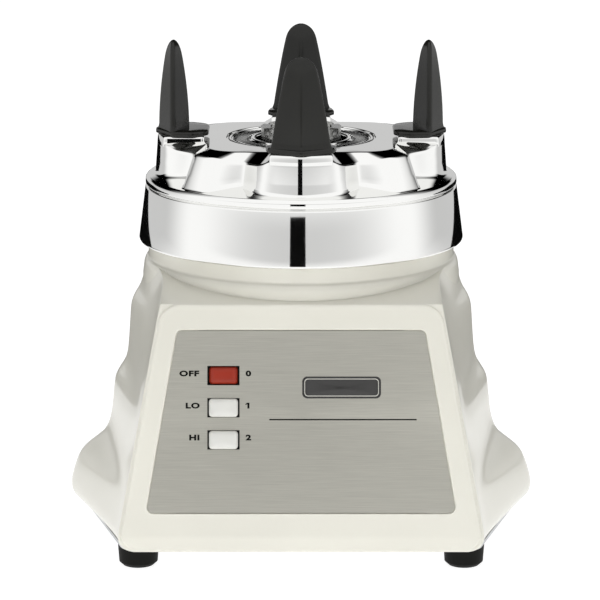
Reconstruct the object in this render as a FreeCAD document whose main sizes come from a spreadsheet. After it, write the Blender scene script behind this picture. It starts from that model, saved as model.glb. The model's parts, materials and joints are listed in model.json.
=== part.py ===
import FreeCAD, Part
import math
import os
import Sketcher
from FreeCAD import Placement, Rotation, Vector

# Motor base of a bar blender, in millimetres. The origin is on the table under the drive shaft, +Z is up,
# and the control panel faces -Y. The base is symmetric left to right, and its back mirrors its front.

DIMENSIONS = {
    # Housing: a hollow casting that stands on four feet
    "foot_height": 12, "foot_radius": 9.3, "foot_x": 72.6, "foot_y": 72.6, "wall_gauge": 3,
    "front_depth": 95, "front_tilt": 10.2, "front_half": 81.7, "front_taper": 0.186,
    "corner_round": 6, "side_round": 40, "body_top": 130,
    "deck_start": 119, "deck_slope": 9.5,
    "neck_radius": 70.2, "neck_top": 136, "spigot_radius": 66, "deck_top": 146, "deck_gauge": 4,
    # Control panel, measured up the slanted front from the housing's lower edge
    "frame_raise": 1, "frame_top": 108.7, "frame_base_half": 80.2, "frame_top_half": 61,
    "plate_low": 17.5, "plate_high": 97.5, "plate_low_half": 67.8, "plate_high_half": 54,
    "plate_gauge": 1, "plate_proud": 0.6,
    "button_x": -34, "button_mid": 63.7, "button_pitch": 14.1, "button_wide": 12.7, "button_tall": 8,
    "button_proud": 2.8, "button_travel": 3.2, "window_wide": 14.1, "window_tall": 8.5,
    # Chrome collar with the jar platform
    "collar_low": 134.5, "collar_low_radius": 74.3, "collar_top_radius": 71, "rim_height": 162.5,
    "ledge_height": 164.3, "platform_top": 181, "flat_half": 42.5, "pedestal_top": 183,
    "pedestal_half": 14.7, "recess_radius": 34, "recess_floor": 179, "hub_hole": 20.9, "collar_screw_circle": 54,
    # Jar posts and their sleeves
    "pad_top": 225.5, "core_scale": 0.7, "core_depth": 6,
    # Drive line
    "coupling_radius": 18.3, "coupling_top": 185.8, "shaft_radius": 5, "shaft_end_radius": 4,
    "shaft_core_radius": 6, "shaft_low": 22, "shaft_high": 175,
    # Motor
    "core_radius": 24.3, "core_low": 80, "core_high": 118, "stator_radius": 42, "stator_bore": 25.3,
    "coil_radius": 35, "motor_bolt_circle": 38.5, "motor_mount_circle": 50,
    "commutator_radius": 14, "commutator_low": 58, "commutator_high": 73,
    "brush_gap": 0.3, "brush_length": 20, "brush_wide": 8, "brush_tall": 6, "brush_height": 65,
    "fan_radius": 34, "fan_low": 26, "fan_high": 38,
    # Cord inlet at the back, measured up the slanted back
    "inlet_height": 16, "inlet_radius": 6, "inlet_bore": 4.3,
}

# Half-width of the housing at its widest line, from the table up: (height, half-width)
SIDE_PROFILE = (
    (12, 106.6), (14, 107.4), (17, 108), (20, 107.7), (23, 107), (26, 106.1), (29, 105), (31.5, 103.6),
    (34.5, 101.5), (37.2, 98.1), (40.5, 93.6), (45, 90.4), (52, 88.2), (64.5, 86.8), (69, 85.9),
    (74, 83.2), (79, 80.9), (84, 79.9), (98, 78.7), (104, 78.1), (109, 76.2), (114, 73.2), (118, 71.9),
    (122, 71.1), (126, 70.5), (130, 69.9),
)
# Half-width of a jar pad across its post: (height, half-width)
PAD_PROFILE = ((183, 15), (187, 14.5), (199, 12.4), (210, 10.4), (218, 8.7), (223, 6.6), (225.5, 3))

document = FreeCAD.newDocument("BlenderBase")
sheet = document.addObject("Spreadsheet::Sheet", "Sizes")
for row, (alias, amount) in enumerate(DIMENSIONS.items(), start=1):
    sheet.set(f"A{row}", alias)
    sheet.set(f"B{row}", str(amount))
    sheet.setAlias(f"B{row}", alias)
document.recompute()
pieces = []


class Size:
    """A number together with the sheet formula that it comes from."""

    def __init__(self, value, text):
        self.value = float(value)
        self.text = text

    def __add__(self, other):
        other = as_size(other)
        return Size(self.value + other.value, f"({self.text} + {other.text})")

    def __sub__(self, other):
        other = as_size(other)
        return Size(self.value - other.value, f"({self.text} - {other.text})")

    def __mul__(self, other):
        other = as_size(other)
        return Size(self.value * other.value, f"({self.text} * {other.text})")

    def __neg__(self):
        return Size(-self.value, f"(0 - {self.text})")


def as_size(number):
    return number if isinstance(number, Size) else Size(number, repr(float(number)))


def size(alias):
    return Size(sheet.get(alias), f"Sizes.{alias}")


def bind(target, path, amount):
    target.setExpression(path, as_size(amount).text)


def keep(target, label):
    """Name a finished sub-part and put it on the list that is written out."""
    target.Label = label
    pieces.append(target)
    return target


# Placements of the slanted panels: x across, y up the slope, z outwards

tilt = size("front_tilt").value
depth = size("front_depth").value
base_z = size("foot_height").value
FRONT = Placement(Vector(0, -depth, base_z), Rotation(Vector(1, 0, 0), 90 - tilt))
BACK = Placement(Vector(), Rotation(Vector(0, 0, 1), 180)) * FRONT
UPRIGHT = Placement()


def move(target, placement, x=0, y=0, z=0):
    """Place an object at x, y, z in a placement's frame. Upright ones stay bound to the sheet."""
    x, y, z = as_size(x), as_size(y), as_size(z)
    target.Placement = placement * Placement(Vector(x.value, y.value, z.value), Rotation())
    if placement is UPRIGHT:
        bind(target, "Placement.Base.x", x)
        bind(target, "Placement.Base.y", y)
        bind(target, "Placement.Base.z", z)
    return target


# Primitives and booleans

def cylinder(name, radius, height, x=0, y=0, z=0, frame=UPRIGHT):
    solid = document.addObject("Part::Cylinder", name)
    bind(solid, "Radius", radius)
    bind(solid, "Height", height)
    return move(solid, frame, x, y, z)


def box(name, length, width, height, x=0, y=0, z=0, frame=UPRIGHT):
    """A box centred on x and y that rises from z."""
    length, width = as_size(length), as_size(width)
    solid = document.addObject("Part::Box", name)
    bind(solid, "Length", length)
    bind(solid, "Width", width)
    bind(solid, "Height", height)
    return move(solid, frame, as_size(x) - length * 0.5, as_size(y) - width * 0.5, z)


def cut(name, base, tool):
    result = document.addObject("Part::Cut", name)
    result.Base = base
    result.Tool = tool
    return result


def fuse(name, solids):
    result = document.addObject("Part::MultiFuse", name)
    result.Shapes = solids
    return result


def common(name, first, second):
    result = document.addObject("Part::Common", name)
    result.Base = first
    result.Tool = second
    return result


def ring(name, outer, inner, height, z):
    """A plain upright ring about the shaft."""
    low = as_size(z)
    hole = cylinder(name + "_hole", inner, as_size(height) + 2, z=low - 1)
    return cut(name, cylinder(name + "_disc", outer, height, z=low), hole)


def around(name, make, count, start=0):
    """Fuse equal solids spaced evenly about the shaft. make(name) builds one on the +X side."""
    solids = []
    for index in range(count):
        solid = make(f"{name}_{index}")
        turn = Placement(Vector(), Rotation(Vector(0, 0, 1), start + 360 * index / count))
        for axis in ("x", "y", "z"):
            solid.setExpression(f"Placement.Base.{axis}", None)
        solid.Placement = turn * solid.Placement
        solids.append(solid)
    return fuse(name, solids)


# Sketched bodies

def body_sketch(body, name, role, points):
    """A closed outline of straight edges on one of the body's own planes, bound to the sheet."""
    sketch = body.newObject("Sketcher::SketchObject", name)
    plane = next(feature for feature in body.Origin.OriginFeatures if feature.Role == role)
    sketch.AttachmentSupport = (plane, "")
    sketch.MapMode = "FlatFace"
    points = [(as_size(x), as_size(y)) for x, y in points]
    count = len(points)
    for index, (x, y) in enumerate(points):
        end_x, end_y = points[(index + 1) % count]
        start, end = Vector(x.value, y.value, 0), Vector(end_x.value, end_y.value, 0)
        sketch.addGeometry(Part.LineSegment(start, end))
    for index in range(count):
        sketch.addConstraint(Sketcher.Constraint("Coincident", index, 2, (index + 1) % count, 1))
    for index, point in enumerate(points):
        for kind, amount, origin_line in (("DistanceX", point[0], -2), ("DistanceY", point[1], -1)):
            if amount.value == 0:
                sketch.addConstraint(Sketcher.Constraint("PointOnObject", index, 1, origin_line))
            else:
                rule = Sketcher.Constraint(kind, -1, 1, index, 1, amount.value)
                bind(sketch, f"Constraints[{sketch.addConstraint(rule)}]", amount)
    return sketch


def turned(name, points):
    """A body turned about the Z axis from (radius, height) corners."""
    body = document.addObject("PartDesign::Body", name)
    sketch = body_sketch(body, name + "_profile", "XZ_Plane", points)
    revolution = body.newObject("PartDesign::Revolution", name + "_turn")
    revolution.Profile = sketch
    revolution.ReferenceAxis = (sketch, ["V_Axis"])
    revolution.Angle = 360
    return body


def plate(name, points, thickness, z):
    """A flat body padded up from height z."""
    body = document.addObject("PartDesign::Body", name)
    sketch = body_sketch(body, name + "_outline", "XY_Plane", points)
    bind(sketch, "AttachmentOffset.Base.z", z)
    pad = body.newObject("PartDesign::Pad", name + "_pad")
    pad.Profile = sketch
    bind(pad, "Length", thickness)
    return body


def rectangle(wide, tall, x=0, y=0):
    half_x, half_y = as_size(wide) * 0.5, as_size(tall) * 0.5
    x, y = as_size(x), as_size(y)
    left, right = x - half_x, x + half_x
    low, high = y - half_y, y + half_y
    return [(left, low), (right, low), (right, high), (left, high)]


def trapezoid(low, high, low_half, high_half):
    return [(-low_half, low), (low_half, low), (high_half, high), (-high_half, high)]


def pocket(body, name, points, z, length):
    """Cut an outline down from height z of the body's own frame."""
    sketch = body_sketch(body, name + "_outline", "XY_Plane", points)
    bind(sketch, "AttachmentOffset.Base.z", z)
    hollow = body.newObject("PartDesign::Pocket", name)
    hollow.Profile = sketch
    bind(hollow, "Length", length)
    return hollow


# Shapes that no primitive gives

def rounded_wire(corners, z):
    """A closed wire at height z through corners (x, y, radius), each rounded by a tangent arc."""
    count = len(corners)
    arcs = []
    for index, (x, y, radius) in enumerate(corners):
        corner = Vector(x, y, z)
        before = corners[index - 1]
        after = corners[(index + 1) % count]
        arrive = (Vector(before[0], before[1], z) - corner).normalize()
        leave = (Vector(after[0], after[1], z) - corner).normalize()
        half_angle = arrive.getAngle(leave) / 2
        reach = radius / math.tan(half_angle)
        centre = corner + (arrive + leave).normalize() * (radius / math.sin(half_angle))
        middle = centre + (corner - centre).normalize() * radius
        arcs.append((corner + arrive * reach, middle, corner + leave * reach))
    edges = []
    for index, (start, middle, end) in enumerate(arcs):
        edges.append(Part.Arc(start, middle, end).toShape())
        edges.append(Part.makeLine(end, arcs[(index + 1) % count][0]))
    return Part.Wire(edges)


def body_wire(z, side, inset):
    """The housing's six-sided plan at height z, moved inwards by inset."""
    rise = z - base_z
    half = size("front_half").value - size("front_taper").value * rise - inset
    front = depth - rise * math.tan(math.radians(tilt)) - inset
    corner = size("corner_round").value
    side_round = size("side_round").value
    lean = math.atan2(side - half - inset, front)
    vertex = side - inset + side_round * (1 / math.cos(lean) - 1)
    right = [(half, -front, corner), (vertex, 0, side_round), (half, front, corner)]
    left = [(-x, -y, radius) for x, y, radius in right]
    return rounded_wire(right + left, z)


def body_loft(inset, low, high):
    """The stepped casting between two heights, before its decks are sloped."""
    stations = [(z, side) for z, side in SIDE_PROFILE if low < z < high]
    wires = [body_wire(low, SIDE_PROFILE[0][1], inset)]
    wires += [body_wire(z, side, inset) for z, side in stations]
    wires.append(body_wire(high, SIDE_PROFILE[-1][1], inset))
    return Part.makeLoft(wires, True, False)


def shoulder_cutters(drop):
    """Wedges that slope the shoulders in front of the neck, behind it and at both sides."""
    slope = size("deck_slope").value
    start = size("deck_start").value - drop
    front_y = depth - (start - base_z) * math.tan(math.radians(tilt))
    deck_block = Part.makeBox(300, 200, 60, Vector(-150, -60, 0))
    side_block = Part.makeBox(60, 300, 60, Vector(0, -150, -20))
    side_x, side_z, side_slope = 61.6, 126, 38
    cutters = []
    for turn in (0, 180):
        spin = Placement(Vector(), Rotation(Vector(0, 0, 1), turn))
        deck = deck_block.copy()
        deck.Placement = spin * Placement(Vector(0, -front_y, start), Rotation(Vector(1, 0, 0), slope))
        side = side_block.copy()
        corner = Vector(side_x - drop, 0, side_z - drop)
        side.Placement = spin * Placement(corner, Rotation(Vector(0, 1, 0), -side_slope))
        cutters += [deck, side]
    return cutters


def revolve(points):
    """A solid turned about the Z axis from (radius, height) corners."""
    corners = [Vector(x, 0, z) for x, z in points]
    face = Part.Face(Part.makePolygon(corners + corners[:1]))
    return face.revolve(Vector(), Vector(0, 0, 1), 360)


def panel_prism(points, low, high, round_low, round_high):
    """A prism on the slanted front from (x, up) corners, between two heights above the panel."""
    corners = [(x, y, round_low if index < 2 else round_high) for index, (x, y) in enumerate(points)]
    face = Part.Face(rounded_wire(corners, low))
    prism = face.extrude(Vector(0, 0, high - low))
    prism.Placement = FRONT
    return prism


def sloped_body(inset, low, drop):
    """The stepped body with sloped shoulders. drop lowers them."""
    return body_loft(inset, low, size("body_top").value - drop).cut(shoulder_cutters(drop))


def housing():
    wall = size("wall_gauge").value
    neck = size("neck_radius").value
    neck_top = size("neck_top").value
    spigot = size("spigot_radius").value
    deck_top = size("deck_top").value
    under_deck = deck_top - size("deck_gauge").value
    outer_neck = revolve([
        (0, 100), (68, 100), (72.8, 113), (72.1, 119), (71, 127), (neck, 128.3), (neck, neck_top),
        (spigot, neck_top), (spigot, deck_top), (0, deck_top),
    ])
    inner_neck = revolve([
        (0, 95), (65, 95), (69, 115), (neck - wall, 128), (neck - wall, neck_top - wall),
        (spigot - wall, neck_top - wall), (spigot - wall, under_deck), (0, under_deck),
    ])
    outer = sloped_body(0, base_z, 0).fuse(outer_neck)
    inner = sloped_body(wall, base_z - 1, wall).fuse(inner_neck)
    shell = outer.cut(inner)

    frame = panel_prism(
        [(-size("frame_base_half").value, 1), (size("frame_base_half").value, 1),
         (size("frame_top_half").value, size("frame_top").value),
         (-size("frame_top_half").value, size("frame_top").value)],
        -1, size("frame_raise").value, 8, 10,
    )
    shell = shell.fuse(frame)
    gap = 0.3
    seat = panel_prism(
        [(-size("plate_low_half").value - gap, size("plate_low").value - gap),
         (size("plate_low_half").value + gap, size("plate_low").value - gap),
         (size("plate_high_half").value + gap, size("plate_high").value + gap),
         (-size("plate_high_half").value - gap, size("plate_high").value + gap)],
        size("plate_proud").value - size("plate_gauge").value, 10, 2.8, 2.8,
    )
    shell = shell.cut(seat)

    # Corner bosses for the feet, under a floor plate, and bosses on the deck for the motor screws
    for x_side in (-1, 1):
        for y_side in (-1, 1):
            spot = Vector(x_side * size("foot_x").value, y_side * size("foot_y").value, base_z + 1.5)
            rib = Part.makeBox(30, 3, 20, spot - Vector(30 if x_side < 0 else 0, 1.5, 0))
            boss = Part.makeCylinder(6, 20, spot).fuse(rib).common(outer)
            screw_hole = Part.makeCylinder(2.05, 14, spot - Vector(0, 0, 1))
            shell = shell.fuse(boss).cut(screw_hole)
    for quarter in range(4):
        turn = math.radians(45 + 90 * quarter)
        circle = size("motor_mount_circle").value
        spot = Vector(circle * math.cos(turn), circle * math.sin(turn), deck_top)
        shell = shell.fuse(Part.makeCylinder(5, 6, spot))
        shell = shell.cut(Part.makeCylinder(2.55, 8.5, spot - Vector(0, 0, 4.5)))
        turn = math.radians(90 * quarter)
        circle = size("collar_screw_circle").value
        spot = Vector(circle * math.cos(turn), circle * math.sin(turn), under_deck - 1)
        shell = shell.cut(Part.makeCylinder(2.25, 6, spot))
    shell = shell.cut(Part.makeCylinder(14.2, 8, Vector(0, 0, under_deck - 1)))

    corner = Vector(size("button_x").value - 9.5, size("button_mid").value - 21.5, -10)
    opening = Part.makeBox(19, 43, 12, corner)
    opening.Placement = FRONT
    inlet_spot = Vector(0, size("inlet_height").value, -8)
    inlet = Part.makeCylinder(size("inlet_radius").value + 0.05, 12, inlet_spot)
    inlet.Placement = BACK
    feature = document.addObject("Part::Feature", "Housing")
    feature.Shape = shell.cut(opening).cut(inlet).removeSplitter()
    keep(feature, "housing")


def floor_plate():
    """The sheet that closes the housing's underside, with air slots below the fan."""
    inset = size("wall_gauge").value + 0.4
    disc = Part.Face(body_wire(base_z, SIDE_PROFILE[0][1], inset)).extrude(Vector(0, 0, 1.5))
    for x_side in (-1, 1):
        for y_side in (-1, 1):
            spot = Vector(x_side * size("foot_x").value, y_side * size("foot_y").value, base_z - 1)
            disc = disc.cut(Part.makeCylinder(2.1, 5, spot))
    slot_count = 9
    slot_pitch = 7
    for index in range(slot_count):
        x = (index - (slot_count - 1) / 2) * slot_pitch
        reach = math.sqrt(32 ** 2 - x ** 2)
        for y_side in (-1, 1):
            middle = y_side * (reach / 2 + 2)
            corner = Vector(x - 1.5, middle - (reach - 2) / 2, base_z - 1)
            disc = disc.cut(Part.makeBox(3, reach - 2, 5, corner))
    feature = document.addObject("Part::Feature", "FloorPlate")
    feature.Shape = disc
    keep(feature, "floor_plate")


def feet():
    height = size("foot_height")
    radius = size("foot_radius")
    names = {
        (-1, -1): "foot_front_left", (1, -1): "foot_front_right",
        (-1, 1): "foot_rear_left", (1, 1): "foot_rear_right",
    }
    for (x_side, y_side), label in names.items():
        foot = turned(label, [
            (2.1, 6), (4.5, 6), (4.5, 0), (radius - 2.4, 0), (radius - 0.7, 1.6), (radius, height),
            (2.1, height),
        ])
        move(foot, UPRIGHT, size("foot_x") * x_side, size("foot_y") * y_side, 0)
        keep(foot, label)

    screws = []
    for (x_side, y_side), label in names.items():
        x = size("foot_x") * x_side
        y = size("foot_y") * y_side
        shank = cylinder("shank_" + label, 2, 20, x, y, 5)
        head = cylinder("head_" + label, 4, 2.5, x, y, 3.5)
        screws.append(fuse("screw_" + label, [shank, head]))
    keep(fuse("FootScrews", screws), "foot_screws")


# Control panel

def control_plate():
    low, high = size("plate_low"), size("plate_high")
    low_half, high_half = size("plate_low_half"), size("plate_high_half")
    under = size("plate_proud") - size("plate_gauge")
    body = plate("ControlPlate", trapezoid(low, high, low_half, high_half), size("plate_gauge"), under)
    document.recompute()
    blank = body.Tip
    upright = [
        f"Edge{index + 1}" for index, edge in enumerate(blank.Shape.Edges)
        if abs(edge.tangentAt(edge.FirstParameter).z) > 0.9
    ]
    rounds = body.newObject("PartDesign::Fillet", "PlateCorners")
    rounds.Base = (blank, upright)
    rounds.Radius = 2.5
    for step in (-1, 0, 1):
        middle = size("button_mid") + size("button_pitch") * step
        window = rectangle(size("window_wide"), size("window_tall"), size("button_x"), middle)
        pocket(body, f"Window{step + 1}", window, size("plate_proud"), size("plate_gauge"))
    body.Placement = FRONT
    keep(body, "control_plate")


def buttons():
    """Three push buttons. The stop button is held in by the latch, and the other two stand out."""
    states = (("high", -1, 0), ("low", 0, 0), ("off", 1, 1))
    cap_height = 4.2
    for name, step, latched in states:
        middle = size("button_mid") + size("button_pitch") * step
        crown = size("plate_proud") + size("button_proud") - size("button_travel") * latched
        cap = box(name + "_cap", size("button_wide"), size("button_tall"), cap_height,
                  size("button_x"), middle, crown - cap_height, FRONT)
        stem = box(name + "_stem", 6, 4, 14.2, size("button_x"), middle, crown - cap_height - 14.2, FRONT)
        keep(fuse(name + "_button_solid", [cap, stem]), name + "_button")

        coil = document.addObject("Part::Helix", name + "_coil")
        coil_low = -22.0
        coil_high = crown.value - cap_height - 14.2
        coil.Radius = 1.6
        coil.Height = coil_high - coil_low - 0.8
        coil.Pitch = coil.Height / 5
        wire = document.addObject("Part::Circle", name + "_wire")
        wire.Radius = 0.3
        wire.Placement = Placement(Vector(1.6, 0, 0), Rotation(Vector(1, 0, 0), 90))
        spring = document.addObject("Part::Sweep", name + "_spring_solid")
        spring.Sections = [wire]
        spring.Spine = (coil, [])
        spring.Solid = True
        spring.Frenet = True
        spring.Placement = FRONT * Placement(
            Vector(size("button_x").value, middle.value, coil_low + 0.4), Rotation())
        keep(spring, name + "_spring")


def switch():
    """The three-way latching switch behind the buttons, and the bracket that holds it to the wall."""
    middle = size("button_mid")
    across = size("button_x")
    case = box("switch_case", 22, 48, 19.8, across, middle, -24, FRONT)
    channels = []
    for step in (-1, 0, 1):
        channels.append(box(f"channel_{step + 1}", 6.4, 4.4, 20, across,
                            middle + size("button_pitch") * step, -22.2, FRONT))
    keep(cut("switch_solid", case, fuse("switch_channels", channels)), "switch_body")
    sheet_metal = box("bracket_sheet", 26, 66, 1, across, middle, -4.05, FRONT)
    window = box("bracket_window", 19, 43, 3, across, middle, -5, FRONT)
    holes = []
    screws = []
    for end in (-1, 1):
        spot = middle + 28 * end
        holes.append(cylinder(f"bracket_hole_{end + 1}", 1.6, 3, across, spot, -5, FRONT))
        shank = cylinder(f"bracket_shank_{end + 1}", 1.4, 1.9, across, spot, -4.9, FRONT)
        head = cylinder(f"bracket_head_{end + 1}", 2.6, 1.6, across, spot, -5.8, FRONT)
        screws.append(fuse(f"bracket_screw_{end + 1}", [shank, head]))
    keep(cut("bracket_solid", sheet_metal, fuse("bracket_openings", [window] + holes)), "switch_bracket")
    keep(fuse("bracket_screws_solid", screws), "switch_screws")


# Collar and jar posts

def eased(fraction):
    """A smooth rise from 0 to 1."""
    fraction = min(max(fraction, 0), 1)
    return fraction * fraction * (3 - 2 * fraction)


def lobe_radius(off):
    """The platform's outline at off degrees from a post: its column, a valley, then a broad corner lobe."""
    column, valley, low_radius = 12, 29, 56
    if off < column:
        return 66.8 - 1.7 * (off / column) ** 1.4
    if off < valley:
        return low_radius + 9.1 * eased((valley - off) / (valley - column))
    return low_radius + 12.2 * eased((off - valley) / 12)


def clover_radius(angle):
    """The outline at an angle in degrees, with its valleys rounded."""
    total = 0
    for step in range(-3, 4):
        total += lobe_radius(abs((angle + step + 45) % 90 - 45))
    return total / 7


def post_share(angle):
    """1 over a post's column, falling to 0 beside it."""
    return 1 - eased((abs((angle + 45) % 90 - 45) - 10) / 9)


def shoulder_radius(angle, z):
    """Radius of the platform's wall, which rounds over from a height that differs along the outline."""
    top = size("platform_top").value
    wall = clover_radius(angle)
    turn = math.radians(angle)
    square = size("flat_half").value / (abs(math.cos(turn)) ** 6 + abs(math.sin(turn)) ** 6) ** (1 / 6)
    share = post_share(angle)
    flat = share * (wall - 2.8) + (1 - share) * square
    fall = 1.5 + (1 - share) * (2.5 + 0.5 * (wall - flat))
    rise = min(max((z - top + fall) / fall, 0), 1)
    return flat + (wall - flat) * (1 - rise ** (5 / 3)) ** 0.6


def platform_loft(low, drop, inset):
    """The clover-shaped platform from a height up, lowered and shrunk for its hollow inside."""
    top = size("platform_top").value
    wires = []
    for z in (low + drop, 170, 172, 174, 175.5, 177, 178.3, 179.4, 180.3, 180.8, top):
        points = []
        for step in range(120):
            angle = 3 * step
            radius = shoulder_radius(angle, z) - inset
            turn = math.radians(angle)
            points.append(Vector(radius * math.cos(turn), radius * math.sin(turn), z - drop))
        curve = Part.BSplineCurve()
        curve.interpolate(Points=points, PeriodicFlag=True)
        wires.append(Part.Wire(curve.toShape()))
    return Part.makeLoft(wires, True, True)


def pad_radii(z):
    """Outer and inner distance of a pad's section from the shaft, at height z."""
    fraction = (z - 183) / (size("pad_top").value - 183)
    outer = 65 - 2 * fraction - 5 * fraction ** 6
    inner = 50.9 + 2.2 * fraction + 2.9 * fraction ** 6
    return outer, inner


def pad_wire(z, half, scale):
    """A section of a pad on the +X side: a lens with soft corners, scaled about its middle."""
    outer, inner = pad_radii(z)
    middle = (outer + inner) / 2
    count = 32
    points = []
    for index in range(count):
        angle = 2 * math.pi * index / count
        radial = math.copysign(abs(math.cos(angle)) ** 1.4, math.cos(angle)) * (outer - inner) / 2
        across = math.copysign(abs(math.sin(angle)) ** 1.2, math.sin(angle)) * half
        points.append(Vector(middle + radial * scale, across * scale, z))
    curve = Part.BSplineCurve()
    curve.interpolate(Points=points, PeriodicFlag=True)
    return Part.Wire(curve.toShape())


def pad_loft(scale, low, high_trim):
    wires = []
    for z, half in PAD_PROFILE:
        wires.append(pad_wire(low if z == PAD_PROFILE[0][0] else z - high_trim, half, scale))
    return Part.makeLoft(wires, True, False)


def pedestal(low, high, grow):
    """The flat foot of a post on the +X side."""
    half = size("pedestal_half").value + grow
    inner_x, outer_x = 41 - grow, 65.2 + grow
    corners = [(inner_x, -half, 9), (outer_x, -half, 11), (outer_x, half, 11), (inner_x, half, 9)]
    wire = rounded_wire(corners, low)
    return Part.Face(wire).extrude(Vector(0, 0, high - low))


def around_posts(solid):
    """Four copies of a solid, one for each post, from the +X side round to the front."""
    copies = []
    for quarter in range(4):
        placed = solid.copy()
        placed.rotate(Vector(), Vector(0, 0, 1), 90 * quarter)
        copies.append(placed)
    return copies


def jar_posts(core):
    """The steel tongues inside the sleeves, each let into the collar."""
    feature = document.addObject("Part::Feature", "JarPosts")
    feature.Shape = Part.makeCompound(around_posts(core))
    keep(feature, "jar_posts")


def jar_pads(core):
    """The sleeves over the posts, each with a flange that the jar's foot rests on."""
    seat = size("pedestal_top").value
    sleeve = pad_loft(1, seat, 0).fuse(pedestal(seat, seat + 2, 0.8)).cut(core)
    for quarter, side in enumerate(("right", "rear", "left", "front")):
        pad = document.addObject("Part::Feature", f"Pad{quarter}")
        pad.Shape = sleeve
        pad.Placement = Placement(Vector(), Rotation(Vector(0, 0, 1), 90 * quarter))
        keep(pad, f"jar_pad_{side}")


def collar():
    """The chrome casting: a slanted band, a ledge and a clover-shaped platform with four post feet."""
    platform = size("platform_top").value
    ledge = size("ledge_height").value
    low = size("collar_low").value
    top_radius = size("collar_top_radius").value
    low_radius = size("collar_low_radius").value
    rim = size("rim_height").value
    seat = size("pedestal_top").value
    outer = revolve([(0, low), (low_radius, low), (top_radius, 160), (top_radius, rim),
                     (top_radius - 1.5, ledge), (0, ledge)])
    outer = outer.fuse(platform_loft(ledge - 1, 0, 0))
    inner = revolve([(0, low - 1), (low_radius - 2.7, low - 1), (top_radius - 3, 161.3), (0, 161.3)])
    inner = inner.fuse(platform_loft(160, 5.5, 3.2))
    shell = outer.cut(inner)

    core = pad_loft(size("core_scale").value, seat - size("core_depth").value, 4)
    for foot in around_posts(pedestal(platform - 5, seat, 0)):
        shell = shell.fuse(foot)
    for tongue in around_posts(core):
        shell = shell.cut(tongue)
    for quarter in range(4):
        angle = math.radians(90 * quarter)
        circle = size("collar_screw_circle").value
        spot = Vector(circle * math.cos(angle), circle * math.sin(angle), size("deck_top").value)
        shell = shell.fuse(Part.makeCylinder(5, platform - 5 - spot.z, spot))
        shell = shell.cut(Part.makeCylinder(2.25, 13, spot - Vector(0, 0, 1)))
    recess = Part.makeCylinder(size("recess_radius").value, 10, Vector(0, 0, size("recess_floor").value))
    hub_hole = Part.makeCylinder(size("hub_hole").value, 20, Vector(0, 0, platform - 15))
    feature = document.addObject("Part::Feature", "Collar")
    feature.Shape = shell.cut(recess).cut(hub_hole)
    keep(feature, "collar")
    jar_posts(core)
    jar_pads(core)


def collar_screws():
    def screw(name):
        circle = size("collar_screw_circle")
        return fuse(name, [
            cylinder(name + "_shank", 2.2, 16, circle, 0, 141.5),
            cylinder(name + "_head", 4.2, 3, circle, 0, 139),
        ])
    keep(around("CollarScrews", screw, 4), "collar_screws")


# Drive line

def drive_line():
    shaft = size("shaft_radius")
    end = size("shaft_end_radius")
    thick = size("shaft_core_radius")
    low, high = size("shaft_low"), size("shaft_high")
    keep(turned("Shaft", [
        (0, low), (end, low), (end, 52), (thick, 52), (thick, 128), (shaft, 128), (shaft, high), (0, high),
    ]), "motor_shaft")

    radius, top = size("coupling_radius"), size("coupling_top")
    cup = turned("coupling_cup", [
        (shaft, 164), (9, 164), (9, 174), (radius - 1, 174), (radius, 175.5), (radius, top),
        (radius - 4.3, top), (radius - 4.3, 181.5), (0, 181.5), (0, high), (shaft, high),
    ])
    notches = around("coupling_notches", lambda name: box(name, 10, 5, 4, radius - 2, 0, top - 2.6), 6, 30)
    socket = box("drive_socket", 9.5, 9.5, 8, 0, 0, 176.5)
    keep(cut("Coupling", cup, fuse("coupling_openings", [notches, socket])), "drive_coupling")

    keep(turned("Slinger", [(shaft, 151), (8, 151), (8, 153), (15, 153), (17, 151), (18, 152), (15.5, 155),
                            (shaft, 155)]),
         "slinger")
    keep(turned("Seal", [
        (shaft + 0.05, 141), (14, 141), (14, 146.2), (16, 146.2), (16, 148.2), (shaft + 0.05, 148.2),
    ]), "shaft_seal")


def bearing(name, low, height, bore, outside, ball, count):
    """Deep-groove ball bearing: two races and a cage that carries its balls."""
    pitch = (as_size(bore) + outside) * 0.5
    middle = as_size(low) + as_size(height) * 0.5
    shoulder = ball * 0.8

    def groove(end):
        torus = document.addObject("Part::Torus", f"{name}_groove_{end}")
        bind(torus, "Radius1", pitch)
        torus.Radius2 = ball + 0.06
        return move(torus, UPRIGHT, 0, 0, middle)

    outer = ring(f"{name}_outer_ring", outside, pitch + shoulder, height, low)
    keep(cut(f"{name}_outer_solid", outer, groove("outer")), f"{name}_bearing_outer")
    inner = ring(f"{name}_inner_ring", pitch - shoulder, bore, height, low)
    keep(cut(f"{name}_inner_solid", inner, groove("inner")), f"{name}_bearing_inner")

    def one_ball(label):
        sphere = document.addObject("Part::Sphere", label)
        sphere.Radius = ball
        return move(sphere, UPRIGHT, pitch, 0, middle)

    balls = around(f"{name}_balls", one_ball, count)
    band = ring(f"{name}_cage_band", pitch + ball * 0.35, pitch - ball * 0.35, 2, middle - 1)
    keep(fuse(f"{name}_cage_solid", [balls, band]), f"{name}_bearing_cage")


def bearings():
    bearing("upper", 129, 8, size("shaft_radius"), 13, 2.4, 8)
    bearing("lower", 44, 7, size("shaft_end_radius"), 11, 2, 7)


# Motor

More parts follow.
